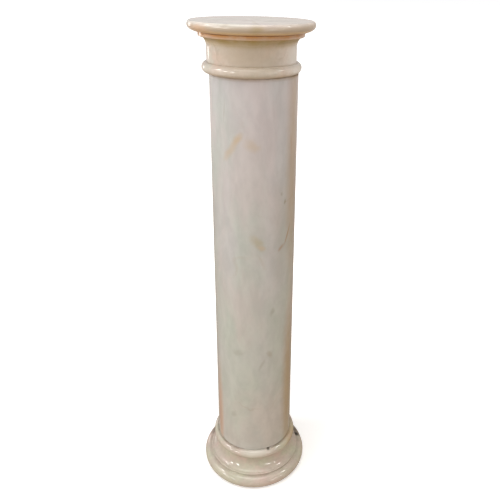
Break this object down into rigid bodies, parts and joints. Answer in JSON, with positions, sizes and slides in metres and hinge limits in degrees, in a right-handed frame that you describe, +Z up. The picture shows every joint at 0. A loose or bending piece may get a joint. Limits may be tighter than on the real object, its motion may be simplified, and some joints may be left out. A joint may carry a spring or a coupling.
{
  "type": "doric column",
  "caption": "Turned round marble pedestal column with a moulded base, tapered plain shaft, ringed capital and round top slab, standing by its own weight.",
  "frame": {"origin": "centre of the base's underside, on the floor", "axes": "+Z up along the shaft's axis; -X is the side towards which the capital and top slab sit slightly off the shaft"},
  "size_m": [0.254, 0.254, 1.05],
  "materials": {
    "base_marble": "polished",
    "shaft_marble": "polished",
    "capital_marble": "polished",
    "slab_marble": "polished"
  },
  "bodies": {
    "root": {"base": "base_marble", "shaft": "shaft_marble", "capital": "capital_marble", "top_slab": "slab_marble"}
  },
  "joints": []
}
